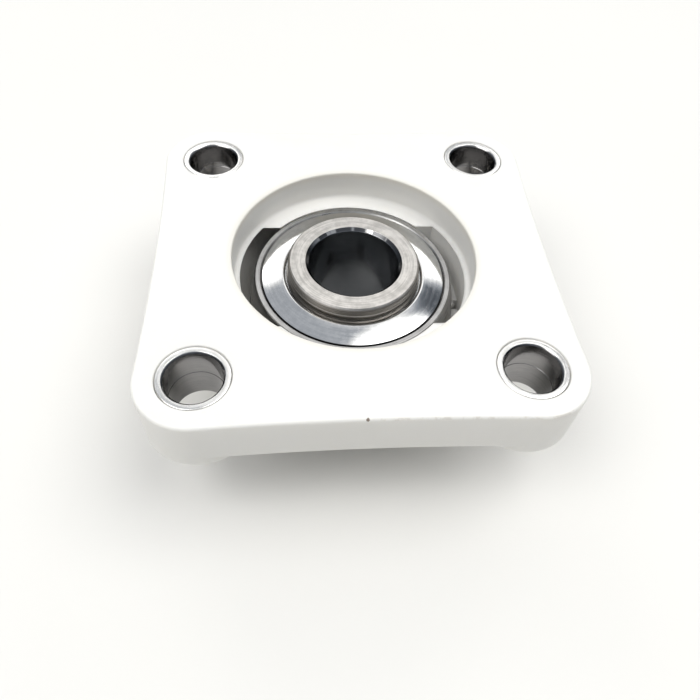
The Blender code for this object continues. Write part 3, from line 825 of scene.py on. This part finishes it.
def chamfer_colour(g, colour):
    """The ring's colour with its bore chamfer painted dark as shade, and painted highlight arcs on it on the
    far side.
    """
    radius, direction = g.polar()
    far = g.vector("DOT_PRODUCT", direction, (0, 1, 0), output="Value")
    outside_bore = g.remap(radius, BORE + 0.00005, BORE + 0.0001)
    inside_face = g.remap(radius, BORE + 0.0007, BORE + 0.0006)
    # Painted highlight arcs on the chamfer's far side, over painted shade elsewhere on it.
    glint_arcs = g.product(g.remap(g.noise(3.2, 2, 0.5, direction), 0.5, 0.56), g.remap(far, 0.35, 0.75))
    return g.blend(g.product(outside_bore, inside_face), colour, g.blend(glint_arcs, *CHAMFER_SHADE_AND_GLINT))


def inner_ring_metal():
    """Ground bearing steel: painted shade in the bore, painted shade and painted highlight arcs on the
    chamfer, and banded brown painted shade on its outer wall.
    """
    g, colour, gloss = metal("honed_steel", BORE_SHADE, (420, 0.5))
    colour = chamfer_colour(g, colour)
    # Painted shade on the outer wall, in the gap between the ring's face and the slinger: banded dark brown
    # colours.
    at_wall = g.remap(g.polar()[0], INNER_RADIUS - 0.0003, INNER_RADIUS - 0.0001)
    bands = {"W": g.math("DIVIDE", g.axis("Z"), 0.0004), "Scale": 1.0, "Detail": 2.0}
    rings = g.add("TexNoise", bands, noise_dimensions="1D")
    grease = g.blend(g.remap(rings, 0.46, 0.66), *WALL_GAP_SHADE)
    return g.done(g.blend(at_wall, colour, grease), gloss)


def rubber():
    """Black nitrile rubber with a little dust."""
    g = Surface("seal_rubber", IOR=1.52)
    grain, dust = g.noise(3600, 4, 0.65), g.noise(150, 4, 0.6)
    colour = g.blend(g.remap(dust, 0.4, 0.75), *RUBBER)
    g.bump((grain, 0.000015))
    return g.done(colour, g.remap(dust, 0.3, 0.7, 0.52, 0.68))


def make_materials():
    return {
        "plastic": housing_plastic(),
        # The sleeves take painted shade inside their bore.
        "sleeve": plain_metal("turned_steel", SLEEVE_SHADE),
        "outer": plain_metal("ground_steel"),
        "inner": inner_ring_metal(),
        "slinger": slinger_metal(),
        "ball": plain_metal("ball_polish"),
        "cage": plain_metal("pressed_steel"),
        "pin": plain_metal("pin_polish"),
        "screw": plain_metal("blackened_steel"),
        "nipple": plain_metal("zinc_plate"),
        "rubber": rubber(),
    }


# --- floor, light and camera ---


def floor_material():
    g = Surface("pale_paper", IOR=1.4)
    fibre, cloud = g.noise(1800, 4, 0.6), g.noise(6, 2, 0.5)
    g.bump((fibre, 0.00002))
    return g.done(g.blend(cloud, *FLOOR_PAPER), g.remap(cloud, 0.3, 0.7, 0.6, 0.7))


def make_floor():
    bm = bmesh.new()
    bmesh.ops.create_circle(bm, cap_ends=True, radius=FLOOR_RADIUS, segments=64)
    floor = make_object("floor", bm, (0, 0, FLOOR_Z))
    floor.data.materials.append(floor_material())


def make_backdrop():
    """A white paper wall round the floor. Only the camera sees it, so it adds no light."""
    bm = bmesh.new()
    bmesh.ops.create_cone(
        bm, cap_ends=False, radius1=WALL_RADIUS, radius2=WALL_RADIUS, depth=WALL_HEIGHT, segments=96
    )
    wall = make_object("backdrop", bm, (0, 0, WALL_CENTRE_Z))
    paper = Surface("backdrop_paper", Emission_Color=(*WALL_PAPER, 1), Emission_Strength=WALL_LIGHT)
    wall.data.materials.append(paper.done((0, 0, 0, 1), 1.0))
    wall.visible_diffuse = wall.visible_glossy = wall.visible_shadow = False
    wall.visible_transmission = wall.visible_volume_scatter = False


def glow(sky, direction, widest, narrowest, low, high):
    """Low beyond an angle from a direction, in degrees, easing to high within another."""
    facing = sky.vector("DOT_PRODUCT", sky.place, Vector(direction).normalized(), output="Value")
    return sky.remap(facing, cos(radians(widest)), cos(radians(narrowest)), low, high)


def make_sky():
    """A dim white room with a few large softboxes in it, and a grey patch on the right."""
    world = bpy.data.worlds.new("soft_room")
    bpy.context.scene.world = world
    world.use_nodes = True
    sky = Graph(world.node_tree, "Generated")
    strength = glow(sky, *ROOM)
    for direction, widest, narrowest, high in SOFTBOXES:
        strength = sky.math("ADD", strength, glow(sky, direction, widest, narrowest, 0.0, high))
    strength = sky.math("MULTIPLY", strength, glow(sky, *GREY_PATCH))
    background = sky.nodes["Background"]
    sky.plug(sky.blend(strength, DIM_TINT, BRIGHT_TINT), background.inputs["Color"])
    sky.plug(strength, background.inputs["Strength"])


def make_camera():
    """A phone-like camera above the front edge, turned a little about its own line of sight."""
    azimuth, elevation, roll = CAMERA_AZIMUTH, CAMERA_ELEVATION, CAMERA_ROLL
    back = Vector((sin(azimuth) * cos(elevation), -cos(azimuth) * cos(elevation), sin(elevation)))
    right = Vector((cos(azimuth), sin(azimuth), 0))
    up = back.cross(right)
    side = right * cos(roll) + up * sin(roll)
    top = up * cos(roll) - right * sin(roll)
    turn = Matrix((side, top, back)).transposed().to_4x4()
    data = bpy.data.cameras.new("camera")
    data.lens, data.sensor_width = CAMERA_LENS, SENSOR_WIDTH
    data.clip_start, data.clip_end = 0.005, 20
    camera = bpy.data.objects.new("camera", data)
    camera.matrix_world = Matrix.Translation(Vector(CAMERA_TARGET) + back * CAMERA_DISTANCE) @ turn
    bpy.context.collection.objects.link(camera)
    bpy.context.scene.camera = camera


# --- the whole model ---


def make_bearing(m):
    make_housing(m["plastic"])
    make_sleeves(m["sleeve"])
    make_nipple(m["nipple"])
    make_outer_ring(m["outer"])
    make_pin(m["pin"])
    make_inner_ring(m["inner"])
    make_slinger("flinger_back", 1, m["slinger"], "slinger_back")
    make_slinger("flinger_front", -1, m["slinger"], "slinger_front")
    make_seal("lip_seal_back", 1, m["rubber"], "seal_back")
    make_seal("lip_seal_front", -1, m["rubber"], "seal_front")
    make_balls(m["ball"])
    make_cage_half("cage_back", 1, m["cage"], "cage_half_back")
    make_cage_half("cage_front", -1, m["cage"], "cage_half_front")
    make_rivets(m["cage"])
    make_set_screws(m["screw"])


bpy.context.scene.view_settings.view_transform = "Standard"
make_bearing(make_materials())
make_floor()
make_backdrop()
make_sky()
make_camera()
